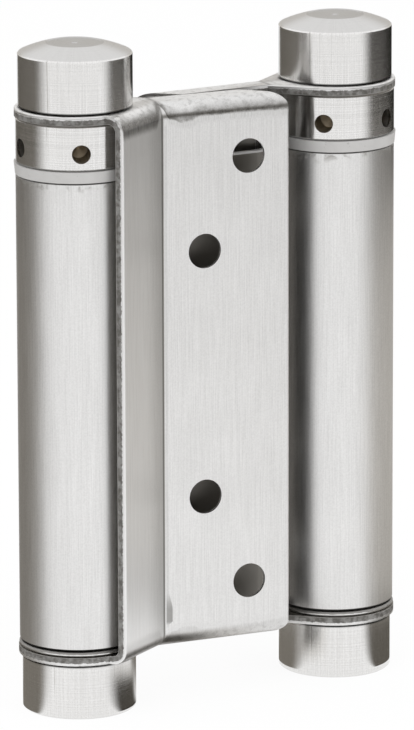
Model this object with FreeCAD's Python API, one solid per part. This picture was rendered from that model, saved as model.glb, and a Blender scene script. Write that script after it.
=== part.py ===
import FreeCAD, Part
import math
import os

# Double action spring hinge: two sprung barrels joined by a web, with a folded leaf on each barrel.
# Origin at the middle of the two foot caps, +X from the front leaf's barrel to the rear leaf's barrel,
# +Y away from the front leaf, +Z up. Millimetres.

V = FreeCAD.Vector
UP = V(0, 0, 1)
near = 0.001             # points closer than this are the same

# Sheet metal
leaf_height = 100.0      # leaf, outside to outside of its flanges
barrel_spacing = 53.3    # between the two barrel axes
barrel_d = 21.3          # outside of the rolled barrels
barrel_break = 0.3       # broken edges at the barrels' and the web's ends
ring_lip = 0.2           # leaf's pivot rings beyond the barrels
sheet_t = 1.6            # leaves and web
bend_r = 1.3             # inside radius of the flange bends
crease_r = 1.0           # hollow of the leaf's crease
plate_face = 5.4         # leaf's outer face from the plane of the two barrel axes, leaf as drawn
edge_room = 3.45         # leaf's free edge from the other barrel
jog_room = 3.85          # leaf's crease from its own barrel
strip_room = 0.35        # slanted strip from the rim of its own barrel's bush
strip_lead = 5.3         # strip's edge past the point nearest to its barrel
shear_r = 0.35           # rounded corner of the leaf's sheared edges
ring_roll = 0.35         # rounded outer edge of the pivot rings
flange_past = 0.85       # flanges' inner edge past the plane of the two barrel axes
corner_turn = 41.0       # cut across the flanges' corners from the plate's face, degrees
rest_open = 5.2          # front leaf's turn at rest, where its flanges meet the rear leaf's, degrees
web_leave = 50.0         # where the web leaves a barrel, degrees towards the barrel's own leaf
web_bend_r = 3.0         # inside radius of the web's bends
seam_gap = 0.2           # between a barrel's rolled edge and the web

# Screw holes of a leaf
screw_d = 6.3            # hole for a countersunk screw
screw_land = 0.6         # straight wall left under the countersink
outer_row = 10.8         # outer holes from the leaf's ends
inner_row = 27.4         # inner holes from the leaf's ends
outer_column = 8.0       # outer holes from the free edge
inner_column = 8.1       # inner holes from the crease

# Turned pieces
cap_set = 0.45           # caps back from the barrels' outside
cap_h = 9.8              # top cap up to its rim
cap_rise = 1.6           # cone of the top cap above the rim
cap_swell = 0.12         # how far the cone bulges
cap_flat_d = 10.4        # flat centre of the top cap
cap_dish = 0.12          # sink of the flat centre
centre_mark_d = 1.3      # lathe centre mark in a cap
foot_h = 10.0            # bottom cap
edge_break = 0.3         # broken edges of the turned pieces
relief_h = 0.3           # groove between a cap and its ring
relief_depth = 1.0
collar_h = 8.1
tommy_d = 3.35           # tommy-bar holes in the collar
tommy_depth = 5.5        # their straight wall
tommy_rise = 3.1         # their axis above the collar's lower face
tommy_count = 5
drill_tip = 118.0        # point angle of the drill, degrees
front_collar_turn = -112.7
rear_collar_turn = -131.5
plug_tail = 2.0          # collar's plug below the bush
spindle_d = 6.0
spindle_seat = 6.0       # spindle's ends inside the caps
lower_plug_h = 12.0

# Bearings and spring
bush_flange_h = 2.0
bush_lip = 0.3           # bush's flange beyond the barrel, at its upper rim
bush_draft = 0.2         # how much smaller its lower rim is
bush_sleeve_h = 10.0
bush_wall = 1.0
washer_lip = 0.1         # washer beyond the barrel
washer_t = 0.8
washer_break = 0.3       # broken edges of the washer
wire_d = 2.8
coil_turns = 12
tang_depth = 5.0         # straight ends of the spring inside the plugs
tang_wall = 0.6          # plug's wall outside a straight end
tang_upset = 1.04        # straight end's thickness against the wire
coil_lift = 0.25         # first and last turn from the plugs

# Clearances
run_clear = 0.05         # turning fits, on the radius
seat_clear = 0.03        # seats that don't turn, on the radius
collar_play = 0.1        # above and below the collar
washer_play = 0.1        # under the washer
foot_play = 0.3          # between washer and barrel

# Worked out from the above
barrel_r = barrel_d / 2
bore_r = barrel_r - sheet_t
ring_d = barrel_d + 2 * ring_lip
ring_r = ring_d / 2
cap_d = barrel_d - 2 * cap_set
cap_r = cap_d / 2
bend_out = bend_r + sheet_t
spindle_r = spindle_d / 2
wire_r = wire_d / 2
leaf_z = foot_h
leaf_top = leaf_z + leaf_height
collar_top = leaf_top - sheet_t - collar_play
collar_z = collar_top - collar_h
barrel_top = collar_z - collar_play - bush_flange_h
washer_z = leaf_z + sheet_t + washer_play
barrel_z = washer_z + washer_t + foot_play
bush_r = bore_r - seat_clear
bush_bore_r = bush_r - bush_wall
plug_r = bush_bore_r - run_clear
plug_z = barrel_top - bush_sleeve_h - plug_tail
lower_plug_top = barrel_z + lower_plug_h
tang_r = wire_r * tang_upset
coil_r = plug_r - tang_wall - tang_r
coil_z = lower_plug_top + wire_r + coil_lift
coil_top = plug_z - wire_r - coil_lift
coil_turn = 360.0 * coil_turns


def polar(radius, degrees):
    return V(radius * math.cos(math.radians(degrees)), radius * math.sin(math.radians(degrees)), 0)


def line(start, end):
    return Part.LineSegment(start, end).toShape()


def arc(centre, start, end):
    radius = (start - centre).Length
    middle = (start - centre) + (end - centre)
    return Part.Arc(start, centre + middle.normalize() * radius, end).toShape()


def prism(points, z, height):
    outline = [V(p.x, p.y, z) for p in points]
    return Part.Face(Part.makePolygon(outline + outline[:1])).extrude(UP * height)


def disc(radius, z, height):
    return Part.makeCylinder(radius, height, V(0, 0, z), UP)


def turned(edges):
    return Part.Face(Part.Wire(edges)).revolve(V(0, 0, 0), UP, 360)


def turned_polygon(points):
    corners = [V(r, 0, z) for r, z in points]
    return turned(Part.makePolygon(corners + corners[:1]).Edges)


# Web: half of the rolled sheet's outline, from a barrel's rolled edge to the middle of the web
def web_side(radius):
    axis = V(-barrel_spacing / 2, 0, 0)
    side = radius - (barrel_r - sheet_t / 2)
    seam = math.degrees(math.acos(bore_r / (barrel_r + seam_gap)))
    outward = polar(1, -web_leave)
    heading = polar(1, 90 - web_leave)
    neutral = web_bend_r + sheet_t / 2
    leave = axis + outward * (barrel_r - sheet_t / 2)
    corner = leave + heading * (-leave.y / heading.y)
    setback = neutral * math.tan(math.radians((90 - web_leave) / 2))
    bend_axis = V(corner.x + setback, -neutral, 0)
    start = axis + polar(radius, seam - web_leave)
    opposite = axis + polar(radius, seam / 2 - web_leave + 180)
    tangent = axis + outward * radius
    bend_start = bend_axis - outward * (neutral - side)
    bend_end = bend_axis + V(0, neutral - side, 0)
    return [
        Part.Arc(start, opposite, tangent).toShape(),
        line(tangent, bend_start),
        arc(bend_axis, bend_start, bend_end),
        line(bend_end, V(0, -side, 0)),
    ]


def double_barrel_web():
    half = web_side(barrel_r) + web_side(bore_r)
    far_half = [edge.rotated(V(0, 0, 0), UP, 180) for edge in half]
    seam = line(web_side(barrel_r)[0].Vertexes[0].Point, web_side(bore_r)[0].Vertexes[0].Point)
    edges = half + far_half + [seam, seam.rotated(V(0, 0, 0), UP, 180)]
    outline = Part.Wire(Part.__sortEdges__(edges))
    solid = Part.Face(outline).extrude(UP * (barrel_top - barrel_z))
    upright = [edge for edge in solid.Edges if edge.BoundBox.ZLength > barrel_break]
    ends = [edge for edge in solid.Edges if not any(edge.isSame(other) for other in upright)]
    return solid.makeChamfer(barrel_break, ends).translated(UP * barrel_z)


# Leaf, drawn along the plane of the barrel axes, its own axis at the origin and its lower edge at zero height
def channel(start, end, reach):
    along = (end - start).normalize()
    inward = V(-along.y, along.x, 0)

    def at(depth, z):
        return start - along * reach + inward * depth + V(0, 0, z)

    top = leaf_height
    low_axis = at(bend_out, bend_out)
    top_axis = at(bend_out, top - bend_out)
    edges = [
        line(at(reach, 0), at(bend_out, 0)),
        arc(low_axis, at(bend_out, 0), at(0, bend_out)),
        line(at(0, bend_out), at(0, top - bend_out)),
        arc(top_axis, at(0, top - bend_out), at(bend_out, top)),
        line(at(bend_out, top), at(reach, top)),
        line(at(reach, top), at(reach, top - sheet_t)),
        line(at(reach, top - sheet_t), at(bend_out, top - sheet_t)),
        arc(top_axis, at(bend_out, top - sheet_t), at(sheet_t, top - bend_out)),
        line(at(sheet_t, top - bend_out), at(sheet_t, bend_out)),
        arc(low_axis, at(sheet_t, bend_out), at(bend_out, sheet_t)),
        line(at(bend_out, sheet_t), at(reach, sheet_t)),
        line(at(reach, sheet_t), at(reach, 0)),
    ]
    return Part.Face(Part.Wire(edges)).extrude(along * ((end - start).Length + 2 * reach))


def upright_at(shape, point):
    middle = Part.Vertex(point + UP * (leaf_height / 2))
    return [edge for edge in shape.Edges if edge.distToShape(middle)[0] < near]


def ring_rims(shape):
    def on_rim(point):
        level = min(abs(point.z), abs(point.z - leaf_height))
        return level < near and abs(math.hypot(point.x, point.y) - ring_r) < near

    rims = []
    for edge in shape.Edges:
        first, last = edge.ParameterRange
        if all(on_rim(edge.valueAt(value)) for value in (first, (first + last) / 2, last)):
            rims.append(edge)
    return rims


def screw_hole(x, z):
    face = V(x, -plate_face, z)
    hole = Part.makeCylinder(screw_d / 2, sheet_t, face, V(0, 1, 0))
    sink = sheet_t - screw_land
    cone = Part.makeCone(screw_d / 2, screw_d / 2 + sink, sink, face + V(0, screw_land, 0), V(0, 1, 0))
    return hole.fuse(cone)


def leaf():
    reach = barrel_spacing
    edge_x = barrel_spacing - barrel_r - edge_room
    crease = V(barrel_r + jog_room, -plate_face, 0)
    free_edge = V(edge_x, -plate_face, 0)
    strip_off = barrel_r + bush_lip + strip_room + sheet_t
    lean = math.degrees(math.atan2(crease.y, crease.x) - math.acos(strip_off / crease.Length))
    along_strip = polar(1, lean + 90)
    strip_edge = polar(strip_off, lean) - along_strip * strip_lead
    strip_in = V(-along_strip.y, along_strip.x, 0)
    mitre = (strip_in + V(0, 1, 0)).normalize()

    # The two walls with their flanges, mitred at the crease
    mitre_line = [crease - mitre, crease + mitre * reach]
    strip_zone = [strip_edge - strip_in] + mitre_line + [strip_edge + strip_in * reach]
    plate_zone = [free_edge + V(0, reach, 0), free_edge - V(0, 1, 0)] + mitre_line
    strip = channel(strip_edge, crease, reach).common(prism(strip_zone, 0, leaf_height))
    plate = channel(crease, free_edge, reach).common(prism(plate_zone, 0, leaf_height))

    # Outline of the flanges: inner edge, tangent to the pivot ring, ring, and back to the strip's edge
    tangent = polar(ring_r, 45)
    inner_start = V(tangent.x + tangent.y - flange_past, flange_past, 0)
    inner_end = V(edge_x, flange_past, 0)
    ring_foot = strip_edge + strip_in * (strip_off - math.sqrt(ring_r ** 2 - strip_lead ** 2))
    outline = Part.Wire([
        line(strip_edge, crease),
        line(crease, free_edge),
        line(free_edge, inner_end),
        line(inner_end, inner_start),
        line(inner_start, tangent),
        Part.Arc(tangent, V(-ring_r, 0, 0), ring_foot).toShape(),
        line(ring_foot, strip_edge),
    ])
    full = Part.Face(outline).extrude(UP * leaf_height)
    beside = [strip_edge - strip_in, strip_edge + strip_in * reach]
    ring_zone = beside + [p - along_strip * reach for p in reversed(beside)]
    body = strip.fuse(plate).common(full)
    for z in (0, leaf_height - sheet_t):
        ring = Part.Face(outline).extrude(UP * sheet_t).translated(UP * z)
        body = body.fuse(ring.common(prism(ring_zone, z, sheet_t)))
    body = body.removeSplitter()
    inner_crease = crease + mitre * (sheet_t / mitre.dot(strip_in))
    body = body.makeFillet(shear_r, upright_at(body, strip_edge) + upright_at(body, free_edge))
    body = body.makeFillet(ring_roll, ring_rims(body))
    body = body.makeFillet(crease_r, upright_at(body, crease))
    body = body.makeFillet(crease_r + sheet_t, upright_at(body, inner_crease))

    # Flange corners cut from the free edge clear of the other leaf's flange, pivot holes and screw holes
    wedge = [free_edge, free_edge + V(reach, reach, 0), free_edge + polar(reach, 180 - corner_turn)]
    tools = [prism(wedge, z, bend_out) for z in (0, leaf_height - bend_out)]
    tools.append(disc(spindle_r + seat_clear, 0, leaf_height))
    for row, column in ((outer_row, edge_x - outer_column), (inner_row, crease.x + inner_column)):
        tools += [screw_hole(column, z) for z in (row, leaf_height - row)]
    return body.cut(tools).translated(UP * leaf_z)


# Turned pieces, each about the origin's vertical axis
def top_cap():
    flat_r = cap_flat_d / 2
    mark_r = centre_mark_d / 2
    seat_r = spindle_r + seat_clear
    rim = V(cap_r - edge_break, 0, cap_h)
    flat = V(flat_r, 0, cap_h + cap_rise)
    slope = flat - rim
    swell = (rim + flat) * 0.5 + V(-slope.z, 0, slope.x).normalize() * -cap_swell
    dish_z = cap_h + cap_rise - cap_dish
    profile = [V(flat_r, 0, cap_h + cap_rise), V(flat_r - edge_break, 0, dish_z), V(mark_r, 0, dish_z),
               V(0, 0, dish_z - mark_r), V(0, 0, spindle_seat), V(seat_r, 0, spindle_seat), V(seat_r, 0, 0),
               V(cap_r - relief_depth, 0, 0), V(cap_r - relief_depth, 0, relief_h), V(cap_r, 0, relief_h),
               V(cap_r, 0, cap_h - edge_break), rim]
    edges = Part.makePolygon(profile).Edges + [Part.Arc(rim, swell, flat).toShape()]
    return turned(edges).translated(UP * leaf_top)


def bottom_cap():
    seat_r = spindle_r + seat_clear
    seat_z = foot_h - spindle_seat
    return turned_polygon([(0, 0), (cap_r - edge_break, 0), (cap_r, edge_break),
                           (cap_r, foot_h - relief_h), (cap_r - relief_depth, foot_h - relief_h),
                           (cap_r - relief_depth, foot_h), (seat_r, foot_h), (seat_r, seat_z), (0, seat_z)])


def tension_collar(turn):
    bore = spindle_r + run_clear
    body = turned_polygon([(bore, plug_z), (plug_r, plug_z), (plug_r, collar_z),
                           (barrel_r - edge_break, collar_z), (barrel_r, collar_z + edge_break),
                           (barrel_r, collar_top - edge_break), (barrel_r - edge_break, collar_top),
                           (bore, collar_top)])
    tommy_r = tommy_d / 2
    tip = tommy_r / math.tan(math.radians(drill_tip / 2))
    tools = [disc(tang_r + seat_clear, plug_z, tang_depth + seat_clear).translated(polar(coil_r, coil_turn))]
    for i in range(tommy_count):
        out = polar(1, turn + 360.0 * i / tommy_count)
        mouth = out * barrel_r + UP * (collar_z + tommy_rise)
        tools.append(Part.makeCylinder(tommy_r, tommy_depth, mouth, -out))
        tools.append(Part.makeCone(tommy_r, 0, tip, mouth - out * tommy_depth, -out))
    return body.cut(tools)


def spindle():
    z = foot_h - spindle_seat
    return disc(spindle_r, z, leaf_top + spindle_seat - z)


def lower_plug():
    plug = disc(bore_r - seat_clear, barrel_z, lower_plug_h)
    plug = plug.cut(disc(spindle_r + run_clear, barrel_z, lower_plug_h))
    hole = disc(tang_r + seat_clear, lower_plug_top - tang_depth - seat_clear, tang_depth + seat_clear)
    return plug.cut(hole.translated(polar(coil_r, 0)))


def bush():
    sleeve_z = barrel_top - bush_sleeve_h
    flange_r = barrel_r + bush_lip
    flange_top = barrel_top + bush_flange_h
    return turned_polygon([(bush_bore_r, sleeve_z), (bush_r, sleeve_z), (bush_r, barrel_top),
                           (flange_r - bush_draft, barrel_top), (flange_r, flange_top),
                           (bush_bore_r, flange_top)])


def washer():
    bore = spindle_r + run_clear
    rim = barrel_r + washer_lip
    washer_top = washer_z + washer_t
    return turned_polygon([(bore, washer_z), (rim - washer_break, washer_z), (rim, washer_z + washer_break),
                           (rim, washer_top - washer_break), (rim - washer_break, washer_top),
                           (bore, washer_top)])


def spring():
    rise = coil_top - coil_z
    pitch = rise / coil_turns
    path = Part.makeHelix(pitch, rise, coil_r)
    start = V(coil_r, 0, 0)
    section = Part.Wire(Part.Circle(start, V(0, 2 * math.pi * coil_r, pitch), wire_r).toShape())
    coil = Part.Wire(path.Edges).makePipeShell([section], True, True).translated(UP * coil_z)
    tang_z = lower_plug_top - tang_depth
    low = disc(tang_r, tang_z, coil_z + tang_r - tang_z).translated(polar(coil_r, 0))
    top = disc(tang_r, coil_top - tang_r, plug_z + tang_depth - coil_top + tang_r)
    return coil.fuse([low, top.translated(polar(coil_r, coil_turn))])


# Each barrel's set: the front set stands on -X, the rear set is the same turned half round
os.makedirs("parts", exist_ok=True)
turns = {"front": front_collar_turn, "rear": rear_collar_turn - 180}
shift = {"front": V(-barrel_spacing / 2, 0, 0), "rear": V(barrel_spacing / 2, 0, 0)}
half_turn = {"front": 0, "rear": 180}
leaf_open = {"front": -rest_open, "rear": 0}
nodes = {"double_barrel_web": double_barrel_web()}
for side in ("front", "rear"):
    pieces = {
        "leaf": leaf().rotated(V(0, 0, 0), UP, leaf_open[side]),
        "top_cap": top_cap(),
        "bottom_cap": bottom_cap(),
        "tension_collar": tension_collar(turns[side]),
        "bush": bush(),
        "washer": washer(),
        "spring": spring(),
        "lower_plug": lower_plug(),
        "spindle": spindle(),
    }
    for name, shape in pieces.items():
        nodes[side + "_" + name] = shape.rotated(V(0, 0, 0), UP, half_turn[side]).translated(shift[side])
for name, shape in nodes.items():
    shape.exportStep("parts/" + name + ".step")
    print(name, shape.isValid(), len(shape.Solids), round(shape.Volume, 1))
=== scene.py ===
import math
import bpy
from mathutils import Matrix, Vector


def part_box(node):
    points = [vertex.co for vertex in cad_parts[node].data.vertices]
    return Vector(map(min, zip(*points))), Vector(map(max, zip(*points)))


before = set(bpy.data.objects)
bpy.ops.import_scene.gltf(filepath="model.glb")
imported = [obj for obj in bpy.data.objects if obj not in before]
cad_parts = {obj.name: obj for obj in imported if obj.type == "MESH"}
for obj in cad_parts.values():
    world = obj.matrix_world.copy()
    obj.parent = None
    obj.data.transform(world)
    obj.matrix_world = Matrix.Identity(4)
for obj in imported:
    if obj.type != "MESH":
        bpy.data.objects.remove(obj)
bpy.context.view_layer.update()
scene = bpy.context.scene
print("frame loaded:", len(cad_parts), "nodes")

mm = 0.001
white = (1, 1, 1, 1)
leafTurn = 5.2                                             # front leaf's turn at rest, degrees


def middle(node):
    low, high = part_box(node)
    return (low + high) / 2


def lowest(node):
    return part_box(node)[0].z / mm


def highest(node):
    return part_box(node)[1].z / mm


# each leaf's own coordinates: its barrel's axis, and the turn that closes it and brings it to the front
leafPlace = {"front": (middle("front_top_cap"), leafTurn), "rear": (middle("rear_top_cap"), 180.0)}
barrelX = leafPlace["rear"][0].x / mm
leafLow, leafHigh = lowest("front_leaf"), highest("front_leaf")
tubeLow, tubeHigh = lowest("double_barrel_web"), highest("double_barrel_web")
collarLow, collarHigh = highest("front_bush"), highest("front_tension_collar")
washerLow, washerHigh = lowest("front_washer"), highest("front_washer")
capTop = highest("front_top_cap")
tubeRadius = (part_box("front_tension_collar")[1].x - leafPlace["front"][0].x) / mm

# the folded leaf in its own closed coordinates, mm
leafForm = {"sheet": 1.6, "bend": 2.9, "face": 5.4, "crease": 14.5, "freeEdge": 39.2, "stripOff": 12.9,
            "stripLead": 5.3}
creaseReach = math.hypot(leafForm["crease"], leafForm["face"])
stripLean = -math.atan2(leafForm["face"], leafForm["crease"]) - math.acos(leafForm["stripOff"] / creaseReach)
stripOut = Vector((math.cos(stripLean), math.sin(stripLean), 0))
stripAlong = Vector((-stripOut.y, stripOut.x, 0))
stripEdge = stripOut * leafForm["stripOff"] - stripAlong * leafForm["stripLead"]


class Value:                                               # a node's output that takes part in sums
    def __init__(self, nodes, socket):
        self.nodes = nodes
        self.socket = socket

    def calc(self, operation, *others):
        sockets = dict(enumerate((self,) + others))
        return self.nodes.node("ShaderNodeMath", {"operation": operation}, sockets)

    def __add__(self, other):
        return self.calc("ADD", other)

    def __sub__(self, other):
        return self.calc("SUBTRACT", other)

    def __mul__(self, other):
        return self.calc("MULTIPLY", other)

    def __rsub__(self, other):
        return self.nodes.node("ShaderNodeMath", {"operation": "SUBTRACT"}, {0: other, 1: self})

    __radd__ = __add__
    __rmul__ = __mul__

    def most(self, other):
        return self.calc("MAXIMUM", other)

    def least(self, other):
        return self.calc("MINIMUM", other)

    def root(self):
        return self.calc("SQRT")

    def size(self):
        return self.calc("ABSOLUTE")

    def rise(self, low, high):                             # 0 below low, 1 above high, smooth between
        settings = {"interpolation_type": "SMOOTHSTEP"}
        return self.nodes.node("ShaderNodeMapRange", settings, {0: self, 1: low, 2: high})

    def fall(self, low, high):
        return 1 - self.rise(low, high)

    def spread(self):                                      # a noise stretched over the whole of 0 to 1
        return self.rise(0.3, 0.7)

    def band(self, centre, half, soft):                    # 1 within half of centre, fading over soft
        return (self - centre).size().fall(half, half + soft)

    def between(self, low, high, soft):                    # 1 from low to high, fading over soft outside
        return self.rise(low - soft, low) * self.fall(high, high + soft)


class Nodes:                                               # a node tree and what is made in it
    def __init__(self, tree):
        self.tree = tree

    def node(self, kind, settings, sockets, output=0):
        made = self.tree.nodes.new(kind)
        for key, value in settings.items():
            setattr(made, key, value)
        for key, value in sockets.items():
            self.put(made.inputs[key], value)
        return Value(self, made.outputs[output])

    def put(self, socket, value):
        if isinstance(value, Value):
            self.tree.links.new(value.socket, socket)
        else:
            socket.default_value = value

    def seen(self):                                        # 1 for what the camera, gloss and glass see
        names = ("Is Camera Ray", "Is Glossy Ray", "Is Transmission Ray")
        camera, gloss, glass = [self.node("ShaderNodeLightPath", {}, {}, name) for name in names]
        return camera.most(gloss).most(glass)


class Finish(Nodes):                                       # one material
    def __init__(self, name, **constants):
        self.material = bpy.data.materials.new(name)
        self.material.use_nodes = True
        super().__init__(self.material.node_tree)
        self.shader = self.tree.nodes["Principled BSDF"]
        self.feed(**constants)

    def feed(self, **sockets):
        for key, value in sockets.items():
            self.put(self.shader.inputs[key.replace("_", " ")], value)

    def show(self, shader):                                # another shader in place of the first one
        self.put(self.tree.nodes["Material Output"].inputs["Surface"], shader)
        self.tree.nodes.remove(self.shader)

    def place(self, origin=(0, 0, 0), turn=0.0):           # object coordinates in mm about an upright axis
        point = self.node("ShaderNodeTexCoord", {}, {}, "Object")
        spin = Matrix.Rotation(math.radians(turn), 3, "Z")
        shift = -(spin @ Vector(origin)) / mm
        shift.z = 0
        return self.node("ShaderNodeMapping", {"vector_type": "POINT"}, {
            "Vector": point, "Location": shift, "Rotation": (0, 0, math.radians(turn)),
            "Scale": (1 / mm, 1 / mm, 1 / mm)})

    def parts(self, vector):
        return [self.node("ShaderNodeSeparateXYZ", {}, {0: vector}, i) for i in range(3)]

    def point(self, x, y, z):
        return self.node("ShaderNodeCombineXYZ", {}, {0: x, 1: y, 2: z})

    def noise(self, vector, scale, detail=2.0, rough=0.5):
        return self.node("ShaderNodeTexNoise", {}, {
            "Vector": vector, "Scale": scale, "Detail": detail, "Roughness": rough})

    def away(self, vector, centre):                        # distance from a point
        return self.node("ShaderNodeVectorMath", {"operation": "DISTANCE"}, {0: vector, 1: centre}, "Value")

    def blend(self, low, high, factor):                    # colours
        return self.node("ShaderNodeMix", {"data_type": "RGBA"}, {0: factor, 6: low, 7: high}, 2)

    def tint(self, colour, *steps):                        # a colour with others laid over it in turn
        for factor, over in steps:
            colour = self.blend(colour, over, factor)
        return colour

    def bump(self, height, distance):
        return self.node("ShaderNodeBump", {}, {"Height": height, "Distance": distance, "Strength": 1.0})


def grey(level, warm=0.0):
    return (level, level * (1 - warm * 0.4), level * (1 - warm), 1)


def below(level, depths):
    return [level - depth for depth in depths]


def above(level, heights):
    return [level + height for height in heights]


# brushed sheet: upright grain, drawn out by its scales across and upright, and fine specks
brushSet = {"across": 7, "upright": 0.10, "grain": (1.0, 3.0, 0.6), "speck": (3.2, 2.0, 0.7),
            "sideways": 0.72, "depth": 0.03 * mm}


def brushing(steel, here, x, y, z):
    across, upright = brushSet["across"], brushSet["upright"]
    grain = steel.noise(steel.point(x * across, y * across, z * upright), *brushSet["grain"])
    return grain, steel.noise(here, *brushSet["speck"])


# marks of the folding tool on a leaf's bends, with painted shade under the bends and down the strip's top,
# mm: places from the crease, and heights up over the bend
markSet = {"height": 0.35, "stripUp": 0.5, "peakAt": -0.2, "peak": (0.1, 1.5), "peakUp": 2.5,
           "dipAt": 4.6, "dip": (0.7, 2.2), "dipDown": 0.8, "outer": (6.2, 0.2), "outerDown": 0.3,
           "waver": 0.5, "ridge": (-0.1, 0.15, 0.35), "ridgeReach": (2.0, 3.5), "smudgeAndShadeFrom": (-0.5, 0.1),
           "smudgeAndShadeTo": (0.2, 2.6), "trail": (-0.8, 0.0, 1.1), "paintedBendShade": (-1.0, 0.4, 1.6),
           "topZone": (45, 35), "lowShare": 0.25}


def toolMarksAndBendShade(x, z, along, strip, grain, speck, blotch):
    crease = leafForm["crease"]
    peak = x.band(crease + markSet["peakAt"], *markSet["peak"]) * markSet["peakUp"]
    dip = x.band(crease + markSet["dipAt"], *markSet["dip"]) * markSet["dipDown"]
    outer = x.rise(*below(leafForm["freeEdge"], markSet["outer"])) * markSet["outerDown"]
    markAt = markSet["height"] + strip * markSet["stripUp"] + peak - dip - outer
    fromMark = along - markAt + (blotch - 0.5) * markSet["waver"]
    mottle = 0.35 + blotch.spread() * 0.35 + speck.spread() * 0.3
    ridge = fromMark.band(*markSet["ridge"]) * x.band(crease, *markSet["ridgeReach"]) * 0.9
    # dark smudge over the bend: partly tool marks, partly painted shade under the bend
    smudgeAndShade = fromMark.rise(*markSet["smudgeAndShadeFrom"]) * fromMark.fall(*markSet["smudgeAndShadeTo"]) * mottle
    trail = fromMark.between(*markSet["trail"]) * grain.rise(0.45, 0.65) * 0.3
    # painted shade down the strip's top, under its bend
    paintedBendShade = strip * fromMark.between(*markSet["paintedBendShade"]) * (0.62 + grain.rise(0.35, 0.65) * 0.35)
    topZone = z.rise(*below(leafHigh, markSet["topZone"]))
    topShare = topZone * (1 - markSet["lowShare"]) + markSet["lowShare"]
    return smudgeAndShade.most(trail).most(paintedBendShade).most(ridge) * topShare


# painted shade along the crease, a painted shadow strip beside it on the plate that widens near the foot,
# and a painted highlight beside the crease, mm
creaseSet = {"lineAt": -0.18, "line": (0.12, 0.2), "lineEnd": (0.0, 2.6),
             "shineAt": 0.28, "shine": (0.05, 0.12), "shineEnd": (-1.0, 0.5),
             "creaseShadow": (0.35, 0.7), "echoSoft": 0.15, "echoEnd": (-1.5, -0.5),
             "drop": (5.0, 7.0), "dropFade": 4.0, "dropFoot": 4.2, "dropWidth": 0.75}


def creaseShadeAndHighlight(x, z, along):
    crease = leafForm["crease"]
    # painted shade in the crease
    line = x.band(crease + creaseSet["lineAt"], *creaseSet["line"])
    line = line * along.fall(*creaseSet["lineEnd"]) * 0.75
    # painted highlight beside the crease
    shine = x.band(crease + creaseSet["shineAt"], *creaseSet["shine"])
    shine = shine * along.fall(*creaseSet["shineEnd"]) * 0.25
    # painted shadow strip on the plate beside the crease, widening near the foot
    dropLow, dropHigh = above(leafLow, creaseSet["drop"])
    drop = z.between(dropLow, dropHigh, creaseSet["dropFade"])
    drop = drop * z.rise(leafLow + creaseSet["dropFoot"], dropLow)
    echoFrom, echoTo = above(crease, creaseSet["creaseShadow"])
    creaseShadow = x.between(echoFrom, echoTo + drop * creaseSet["dropWidth"], creaseSet["echoSoft"])
    creaseShadow = creaseShadow * along.fall(*creaseSet["echoEnd"]) * (0.14 + drop * 0.5)
    return creaseShadow.most(line), shine


# leaf: brushed upright outside, dull inside, with sheared edges, and painted light and shade on the strip,
# the bends and the crease; places in mm
leafSet = {"light": grey(0.93, 0.012), "dark": grey(0.67, 0.02), "flange": grey(0.84, 0.03), "rough": 0.34,
           "mill": grey(0.38, 0.10), "fracture": grey(0.20, 0.12), "burnish": grey(0.86, 0.01),
           "toolMarkAndShade": grey(0.15, 0.14), "creaseShadeTone": grey(0.16, 0.10), "paintedCreaseHighlight": grey(0.97),
           "stripPaintedLight": grey(0.98, 0.01), "stripPaintedShade": grey(0.58, 0.03), "paintedLightFrom": 8.0, "paintedShadeFrom": 10.0,
           "skin": (0.05, 0.15), "cutFrom": 0.12, "cutTo": 0.10, "cutSoft": 0.05, "tornShare": 0.34,
           "tornSoft": 0.12, "ragged": 0.7, "millFrom": (0.08, 0.02), "flangeFrom": (0.25, 0.05),
           "stripEnd": (-0.25, 0.05), "wearFrom": (0.2, 1.5), "scuffAt": (-1.0, 2.0, -1.0),
           "scuff": (0.8, 3.0)}


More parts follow.
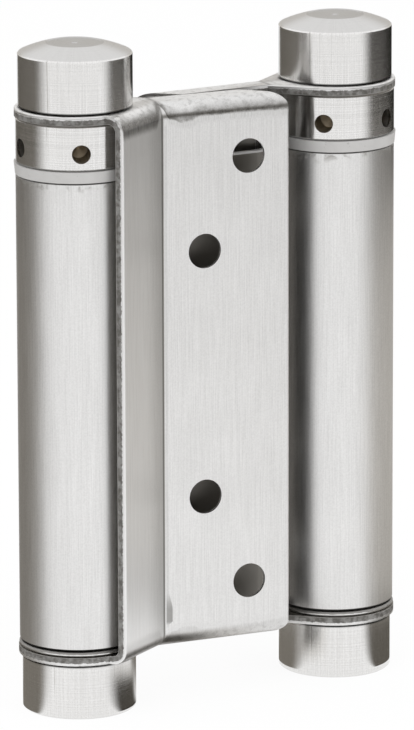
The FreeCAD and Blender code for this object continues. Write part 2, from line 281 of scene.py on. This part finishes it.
def leafSteel(name, origin, turn):
    steel = Finish(name, Metallic=1.0, Anisotropic=brushSet["sideways"])
    sheet, bend, crease = leafForm["sheet"], leafForm["bend"], leafForm["crease"]
    here = steel.place(origin, turn)
    x, y, z = steel.parts(here)
    end = (z - leafLow).least(leafHigh - z)                # from the nearer end of the leaf
    wall = (y + leafForm["face"]).most(leafForm["stripOff"] - (x * stripOut.x + y * stripOut.y))
    inward = (bend - wall).most(0.0)
    endward = (bend - end).most(0.0)
    under = bend - (inward * inward + endward * endward).root()    # depth under the outer skin
    along = endward.calc("ARCTAN2", inward) * bend - (end - bend).most(0.0)    # up and over the bend

    grain, speck = brushing(steel, here, x, y, z)
    cloud = steel.noise(here, 0.12, 2.0)
    blotch = steel.noise(here, 0.9, 3.0, 0.6)
    ragged = steel.noise(here, 1.3, 4.0, 0.7)

    skin = under.fall(*leafSet["skin"])
    cut = under.between(leafSet["cutFrom"], sheet - leafSet["cutTo"], leafSet["cutSoft"])
    tornFrom = sheet * leafSet["tornShare"]
    torn = cut * (under + (ragged - 0.5) * leafSet["ragged"]).rise(tornFrom, tornFrom + leafSet["tornSoft"])
    mill = under.rise(*below(sheet, leafSet["millFrom"]))
    flange = endward.rise(*below(bend, leafSet["flangeFrom"])) * skin
    strip = x.fall(*above(crease, leafSet["stripEnd"]))
    scuffAt = stripEdge + Vector(leafSet["scuffAt"]) + Vector((0, 0, leafHigh))
    scuff = steel.away(here, scuffAt).fall(*leafSet["scuff"]) * ragged.rise(0.42, 0.6)
    marksAndShade = toolMarksAndBendShade(x, z, along, strip, grain, speck, blotch) * skin
    paintedCreaseShade, paintedCreaseHighlight = creaseShadeAndHighlight(x, z, along)

    tone = grain.spread() * 0.45 + cloud * 0.3 + speck.spread() * 0.25
    colour = steel.tint(
        steel.blend(leafSet["dark"], leafSet["light"], tone),
        # painted light towards the strip's outer end and painted shade towards the crease, standing in for
        # its reflection
        (strip * x.fall(leafSet["paintedLightFrom"], crease) * (0.62 + grain.spread() * 0.38), leafSet["stripPaintedLight"]),
        (strip * x.rise(leafSet["paintedShadeFrom"], crease) * 0.5, leafSet["stripPaintedShade"]),
        (flange * (0.3 + blotch * 0.5), leafSet["flange"]),
        (endward.rise(*leafSet["wearFrom"]) * blotch.rise(0.46, 0.72) * 0.3, leafSet["toolMarkAndShade"]),
        # tool marks, partly painted shade under the bends
        (marksAndShade * 0.9, leafSet["toolMarkAndShade"]),
        # painted shade along the crease and beside it, then its painted highlight
        (paintedCreaseShade * skin, leafSet["creaseShadeTone"]),
        (paintedCreaseHighlight, leafSet["paintedCreaseHighlight"]),
        (cut * 0.7, leafSet["burnish"]),
        (torn * (0.6 + blotch.rise(0.35, 0.65) * 0.35), leafSet["fracture"]),
        (scuff * 0.45, leafSet["fracture"]),
        (mill, leafSet["mill"]))
    rough = leafSet["rough"] + (grain - 0.5) * 0.12 + torn * 0.25
    rough = rough + flange * 0.12 + mill * 0.16 + strip * 0.06
    uneven = grain * 0.15 + speck * 0.1 + torn * ragged * 4 + scuff * blotch * 3
    steel.feed(Base_Color=colour, Roughness=rough, Normal=steel.bump(uneven, brushSet["depth"]))
    return steel.material


# barrels and web: the same brushed sheet, scuffed at the top, with painted shade at the tubes' ends, dull in
# the bores and on the web
barrelSet = {"light": grey(0.94, 0.012), "dark": grey(0.66, 0.02), "rough": 0.33, "mill": grey(0.36, 0.12),
             "cutEdge": grey(0.80, 0.02), "paintedEndShade": grey(0.10, 0.12), "worn": grey(0.55, 0.06),
             "wornZone": (2.6, 0.4), "web": (0.04, 0.15), "bore": (0.6, 0.45), "rim": (0.24, 0.34),
             "edge": (0.28, 0.36)}


def barrelSteel(name):
    steel = Finish(name, Metallic=1.0, Anisotropic=brushSet["sideways"])
    here = steel.place()
    x, y, z = steel.parts(here)
    side = x.size() - barrelX
    radius = (side * side + y * y).root()
    web = radius.rise(*above(tubeRadius, barrelSet["web"]))
    bore = radius.fall(*below(tubeRadius, barrelSet["bore"]))
    end = (z - tubeLow).least(tubeHigh - z)
    grain, speck = brushing(steel, here, x, y, z)
    cloud = steel.noise(steel.point(x * 0.4, y * 0.4, z * 0.06), 1.0, 3.0)
    blotch = steel.noise(here, 0.8, 4.0, 0.65)
    # painted shade at both ends of each tube
    rim = end.fall(*barrelSet["rim"]) * (1 - web)
    wornZone = z.rise(*below(tubeHigh, barrelSet["wornZone"]))
    worn = wornZone * blotch.rise(0.50, 0.64) * (1 - web)
    edge = end.fall(*barrelSet["edge"]) * web
    mill = web.most(bore)
    tone = grain.spread() * 0.35 + cloud * 0.4 + speck.spread() * 0.25
    colour = steel.tint(
        steel.blend(barrelSet["dark"], barrelSet["light"], tone),
        (worn * 0.8, barrelSet["worn"]),
        (mill, barrelSet["mill"]),
        (edge, barrelSet["cutEdge"]),
        # painted shade at the tubes' ends
        (rim * 0.8, barrelSet["paintedEndShade"]))
    rough = barrelSet["rough"] + (grain - 0.5) * 0.12 + worn * 0.15 + mill * 0.17
    uneven = grain * 0.15 + speck * 0.1 + worn * blotch
    steel.feed(Base_Color=colour, Roughness=rough, Normal=steel.bump(uneven, brushSet["depth"]))
    return steel.material


# turned caps and collars: fine lines round the axis, upright hairs and scratches, painted shade on the top
# faces and next to the leaves' rings, and painted shade and light in the drilled holes
turnedSet = {"light": grey(0.94, 0.018), "dark": grey(0.66, 0.03), "rough": 0.20, "along": 0.35,
             "alongTurn": 0.25, "lines": 5, "scratches": 26, "hairs": 70,
             "top": grey(0.61, 0.02), "centre": grey(0.53, 0.03), "scratch": grey(0.42, 0.1),
             "shine": grey(0.99), "paintedGapShade": grey(0.02, 0.1), "hole": grey(0.34, 0.2),
             "holeEnd": grey(0.85, 0.3), "holeMouth": grey(0.50, 0.1), "cone": 1.7, "coneSoft": 0.1,
             "flatRadius": (5.1, 5.25), "flankRadius": (9.9, 10.1), "gapMiddle": 0.15,
             "gapSlot": (0.12, 0.16), "gapShade": (0.2, 0.42),
             "gapRadius": (9.7, 9.9), "holeFrom": (0.5, 0.36), "holeInset": 0.5, "holeSoft": 0.1,
             "endRadius": (5.0, 5.6), "mouth": (2.2, 0.5), "depth": 0.03 * mm}


def turnedSteel(name, origin):
    steel = Finish(name, Metallic=1.0, Anisotropic=turnedSet["along"],
                   Anisotropic_Rotation=turnedSet["alongTurn"])
    here = steel.place(origin)
    x, y, z = steel.parts(here)
    radius = (x * x + y * y).root()
    angle = y.calc("ARCTAN2", x)
    rings = steel.noise(steel.point(radius * turnedSet["lines"], 0.0, z * turnedSet["lines"]), 1.0, 3.0, 0.6)
    speck = steel.noise(here, 3.0, 2.0, 0.7)
    upright = steel.noise(steel.point(angle * turnedSet["scratches"], z * 0.02, 0.0), 1.0, 2.0, 0.5)
    hairs = steel.noise(steel.point(angle * turnedSet["hairs"], z * 0.06, radius * 0.1), 1.0, 2.0, 0.6)
    patch = steel.noise(here, 0.25, 2.0).rise(0.35, 0.6) * radius.rise(*turnedSet["flankRadius"])
    streak = upright.rise(0.63, 0.70) * patch
    gleam = upright.fall(0.30, 0.35) * patch

    topRim = capTop - turnedSet["cone"]
    top = z.rise(topRim, topRim + turnedSet["coneSoft"])
    centre = top * radius.fall(*turnedSet["flatRadius"])
    gapMiddle = turnedSet["gapMiddle"]
    # painted shade on the caps and collars next to the leaves' rings, darkest in the slot
    fromGap = (z - leafHigh - gapMiddle).size().least((z - leafLow + gapMiddle).size())
    slot = fromGap.fall(*turnedSet["gapSlot"]) * radius.fall(*turnedSet["gapRadius"])
    paintedGapShade = slot.most(fromGap.fall(*turnedSet["gapShade"]) * 0.8)
    inset = turnedSet["holeInset"]
    # inside the tommy holes: painted shade on the walls, painted light near the mouth and on the drilled end
    inHole = radius.fall(*below(tubeRadius, turnedSet["holeFrom"]))
    inHole = inHole * z.between(collarLow + inset, collarHigh - inset, turnedSet["holeSoft"])
    holeEnd = inHole * radius.fall(*turnedSet["endRadius"])
    mouth = inHole * radius.rise(*below(tubeRadius, turnedSet["mouth"]))

    tone = rings.spread() * 0.45 + hairs.spread() * 0.35 + speck.spread() * 0.2
    colour = steel.tint(
        steel.blend(turnedSet["dark"], turnedSet["light"], tone),
        (streak * 0.6, turnedSet["scratch"]),
        (gleam * 0.6, turnedSet["shine"]),
        # top faces darkened as painted shade, with the turning rings through it
        (top * (0.45 + rings * 0.4), turnedSet["top"]),
        (centre * (0.3 + rings * 0.8), turnedSet["centre"]),
        # painted shade next to the leaves' rings
        (paintedGapShade, turnedSet["paintedGapShade"]),
        # painted shade on the hole walls, painted light at the mouth and on the drilled end
        (inHole, turnedSet["hole"]),
        (mouth * 0.8, turnedSet["holeMouth"]),
        (holeEnd, turnedSet["holeEnd"]))
    rough = turnedSet["rough"] + (rings - 0.5) * 0.1 + (speck - 0.5) * 0.08 + inHole * 0.2 + top * 0.1
    uneven = rings * 0.14 + hairs * 0.05 + speck * 0.04 + top * rings * 0.15
    steel.feed(Base_Color=colour, Roughness=rough, Normal=steel.bump(uneven, turnedSet["depth"]))
    return steel.material


# pressed washer: shiny lower band, torn upper band darkened partly as its fracture and partly as painted
# shadow of the tube
washerSet = {"light": grey(0.86, 0.02), "dark": grey(0.30, 0.08), "rough": 0.28, "waver": 0.3, "soft": 0.12,
             "depth": 0.05 * mm}


def washerSteel(name):
    steel = Finish(name, Metallic=1.0)
    here = steel.place()
    z = steel.parts(here)[2]
    half = (washerLow + washerHigh) / 2
    ragged = steel.noise(here, 1.2, 3.0, 0.6)
    # upper band darkened: partly its fracture, partly painted shadow of the tube
    torn = (z + (ragged - 0.5) * washerSet["waver"]).rise(half, half + washerSet["soft"])
    steel.feed(Base_Color=steel.blend(washerSet["light"], washerSet["dark"], torn * 0.8),
               Roughness=washerSet["rough"] + torn * 0.25,
               Normal=steel.bump(torn * ragged, washerSet["depth"]))
    return steel.material


# white nylon with a little dust
nylonSet = {"light": grey(0.52, 0.03), "dark": grey(0.44, 0.04), "speck": grey(0.22, 0.1), "rough": 0.42,
            "index": 1.53, "depth": 0.03 * mm}


def nylon(name):
    plastic = Finish(name, IOR=nylonSet["index"])
    here = plastic.place()
    cloud = plastic.noise(here, 0.5, 3.0)
    dust = plastic.noise(here, 1.6, 2.0).rise(0.70, 0.76)
    colour = plastic.blend(nylonSet["dark"], nylonSet["light"], cloud)
    plastic.feed(Base_Color=plastic.blend(colour, nylonSet["speck"], dust * 0.5),
                 Roughness=nylonSet["rough"] + (cloud - 0.5) * 0.1,
                 Normal=plastic.bump(cloud, nylonSet["depth"]))
    return plastic.material


# colour and roughness of the pieces inside the barrels
hiddenSet = {"springSteel": (grey(0.38, 0.05), 0.35), "innerSteel": (grey(0.55, 0.04), 0.3)}


def hiddenSteel(name, colour, rough):
    steel = Finish(name, Metallic=1.0)
    cloud = steel.noise(steel.place(), 0.8, 3.0)
    worn = tuple(channel * 0.8 for channel in colour[:3]) + (1,)
    steel.feed(Base_Color=steel.blend(worn, colour, cloud), Roughness=rough + (cloud - 0.5) * 0.1)
    return steel.material


def finishNode(node, material):
    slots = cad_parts[node].data.materials
    slots[0] = material


finishNode("double_barrel_web", barrelSteel("barrelSteel"))
bushNylon = nylon("bushNylon")
washerFinish = washerSteel("washerSteel")
hidden = {name: hiddenSteel(name, *values) for name, values in hiddenSet.items()}
for side, (axis, turn) in leafPlace.items():
    finishNode(side + "_leaf", leafSteel(side + "LeafSteel", axis, turn))
    turnedFinish = turnedSteel(side + "TurnedSteel", axis)
    for piece in ("top_cap", "bottom_cap", "tension_collar"):
        finishNode(side + "_" + piece, turnedFinish)
    finishNode(side + "_bush", bushNylon)
    finishNode(side + "_washer", washerFinish)
    finishNode(side + "_spring", hidden["springSteel"])
    finishNode(side + "_lower_plug", hidden["innerSteel"])
    finishNode(side + "_spindle", hidden["innerSteel"])
print("finishes on all nodes")


# camera at the photograph's angle
cameraSet = {"azimuth": -29.506, "elevation": 13.591, "roll": -0.178, "distance": 1.2108,
             "height": 0.060, "right": -0.00005, "up": -0.00039, "focalPixels": 6719.8, "pixels": 730,
             "sensor": 36.0, "clip": 0.05}


def azimuthPoint(azimuth, elevation, reach):
    a, e = math.radians(azimuth), math.radians(elevation)
    return Vector((math.sin(a) * math.cos(e), -math.cos(a) * math.cos(e), math.sin(e))) * reach


def makeCamera(values):
    back = azimuthPoint(values["azimuth"], values["elevation"], 1.0)
    right = azimuthPoint(values["azimuth"] + 90, 0, 1.0)
    up = back.cross(right)
    aim = Vector((0, 0, values["height"])) + right * values["right"] + up * values["up"]
    roll = math.radians(values["roll"])
    side = right * math.cos(roll) + up * math.sin(roll)
    place = Matrix((side, back.cross(side), back)).transposed().to_4x4()
    place.translation = aim + back * values["distance"]
    data = bpy.data.cameras.new("camera")
    data.sensor_width = values["sensor"]
    data.lens = values["focalPixels"] * values["sensor"] / values["pixels"]
    data.clip_start = values["clip"]
    camera = bpy.data.objects.new("camera", data)
    scene.collection.objects.link(camera)
    camera.matrix_world = place
    scene.camera = camera


makeCamera(cameraSet)


# floor and surroundings, white to the camera and in the metal
stageSet = {"floorSize": 3.6, "floorShare": 0.92, "fill": 0.85}


def makeWorld():
    scene.world = bpy.data.worlds.new("studio")
    scene.world.use_nodes = True
    nodes = Nodes(scene.world.node_tree)
    background = nodes.tree.nodes["Background"]
    nodes.put(background.inputs["Color"], white)
    nodes.put(background.inputs["Strength"], nodes.seen() * (1 - stageSet["fill"]) + stageSet["fill"])


def sheetObject(name, points, faces):
    mesh = bpy.data.meshes.new(name)
    mesh.from_pydata(points, [], faces)
    thing = bpy.data.objects.new(name, mesh)
    scene.collection.objects.link(thing)
    return thing


def makeFloor():
    half = stageSet["floorSize"] / 2
    corners = [(-half, -half, 0), (half, -half, 0), (half, half, 0), (-half, half, 0)]
    floor = sheetObject("floor", corners, [(0, 1, 2, 3)])
    pale = Finish("paleFloor")
    glow = pale.node("ShaderNodeEmission", {}, {})
    plain = pale.node("ShaderNodeBsdfDiffuse", {}, {"Color": white})
    share = pale.seen() * stageSet["floorShare"]
    pale.show(pale.node("ShaderNodeMixShader", {}, {0: share, 1: plain, 2: glow}))
    floor.data.materials.append(pale.material)


# dark cards seen only in the metal: fans on the floor for the round flanks, walls for the bends and tops
farReach = 1.65
cardSet = {
    "left": {"azimuths": (-80, -196), "soft": (36, 12), "foot": -69, "far": "front", "reach": farReach,
             "tones": ((0.0, 0.20), (0.04, 0.20), (0.36, 0.22), (0.46, 0.12), (farReach, 0.12)),
             "near": {"azimuths": (-66, -196), "soft": (62, 12), "reach": 0.042}},
    "right": {"azimuths": (20, 164), "soft": (32, 12), "foot": 12, "far": "rear", "reach": farReach,
              "tones": ((0.0, 0.12), (0.03, 0.12), (0.06, 0.49), (0.22, 0.54), (0.405, 0.50), (0.44, 0.01),
                        (farReach, 0.01)),
              "near": {"azimuths": (14, 120), "soft": (46, 16), "reach": 0.036,
                       "tones": ((0.0, 0.05), (0.021, 0.05), (0.028, 0.78), (0.036, 0.97))}},
    "front": {"azimuths": (-120, 70), "soft": (20, 20), "reach": 1.7,
              "tones": ((0.0, 1.0), (0.10, 0.14), (0.55, 0.14), (1.0, 1.0))},
    "back": {"azimuths": (60, 250), "soft": (20, 20), "reach": 1.7,
             "tones": ((0.0, 1.0), (0.10, 0.62), (0.65, 0.62), (1.1, 1.0))},
    "inset": 0.8, "step": 4, "warm": 0.25, "lift": 0.0003}


def toneAt(tones, reach):
    for (near, low), (far, high) in zip(tones, tones[1:]):
        if reach <= far:
            return low + (high - low) * (reach - near) / (far - near)
    return tones[-1][1]


def smooth(share):
    share = min(max(share, 0.0), 1.0)
    return share * share * (3 - 2 * share)


def cardMaterial():                                        # glows in its points' tone, clear at alpha 0
    dark = Finish("cardGlow")
    tone, cover = [dark.node("ShaderNodeAttribute", {"attribute_name": "tone"}, {}, name)
                   for name in ("Color", "Alpha")]
    glow = dark.node("ShaderNodeEmission", {}, {"Color": tone})
    clear = dark.node("ShaderNodeBsdfTransparent", {}, {})
    dark.show(dark.node("ShaderNodeMixShader", {}, {0: cover, 1: clear, 2: glow}))
    return dark.material


def makeCard(name, material, values, rows):                # rows of points at each azimuth, with their tones
    first, last = values["azimuths"]
    softFirst, softLast = values["soft"]
    count = round(abs(last - first) / cardSet["step"])
    points, tones = [], []
    for i in range(count + 1):
        turned = abs(last - first) * i / count
        share = smooth(turned / softFirst) * smooth((abs(last - first) - turned) / softLast)
        out = azimuthPoint(first + (last - first) * i / count, 0, 1)
        for foot, reach, tone in rows:
            points.append(foot + out * reach)
            tones.append(grey(tone, cardSet["warm"] * (1 - tone))[:3] + (share,))
    width = len(rows)
    faces = [(width * i + k, width * (i + 1) + k, width * (i + 1) + k + 1, width * i + k + 1)
             for i in range(count) for k in range(width - 1)]
    card = sheetObject(name, points, faces)
    shade = card.data.attributes.new("tone", "FLOAT_COLOR", "POINT")
    for item, tone in zip(shade.data, tones):
        item.color = tone
    card.data.materials.append(material)
    card.visible_camera = False
    card.visible_diffuse = False
    card.visible_shadow = False
    card.visible_transmission = False


def makeCards():
    material = cardMaterial()
    lift = 0.0
    for barrel, (axis, turn) in leafPlace.items():
        for side in ("left", "right"):
            values = cardSet[side]
            lift += cardSet["lift"]
            if values["far"] != barrel:
                values = dict(values, **values["near"])
            limit = values["reach"]
            reaches = [reach for reach, tone in values["tones"] if reach < limit] + [limit]
            foot = azimuthPoint(values["foot"], 0, cardSet["inset"] * tubeRadius * mm)
            foot += Vector((axis.x, axis.y, lift))
            rows = [(foot, reach, toneAt(values["tones"], reach)) for reach in reaches]
            makeCard(barrel + side.title() + "Card", material, values, rows)
    for side in ("front", "back"):
        values = cardSet[side]
        rows = [(Vector((0, 0, height)), values["reach"], tone) for height, tone in values["tones"]]
        makeCard(side + "Wall", material, values, rows)


# two large soft lamps
lampSet = {"key": {"azimuth": -60, "elevation": 50, "reach": 1.2, "size": 0.9, "watts": 3},
           "fill": {"azimuth": 25, "elevation": 35, "reach": 1.3, "size": 0.9, "watts": 3}}


def makeLamp(name, values):
    data = bpy.data.lights.new(name, "AREA")
    data.size = values["size"]
    data.energy = values["watts"]
    lamp = bpy.data.objects.new(name, data)
    scene.collection.objects.link(lamp)
    lamp.location = azimuthPoint(values["azimuth"], values["elevation"], values["reach"])
    lamp.rotation_euler = lamp.location.to_track_quat("Z", "Y").to_euler()
    lamp.visible_glossy = False


makeWorld()
makeFloor()
makeCards()
for name, values in lampSet.items():
    makeLamp(name, values)
scene.view_settings.view_transform = "Standard"
print("stage and lamps set")
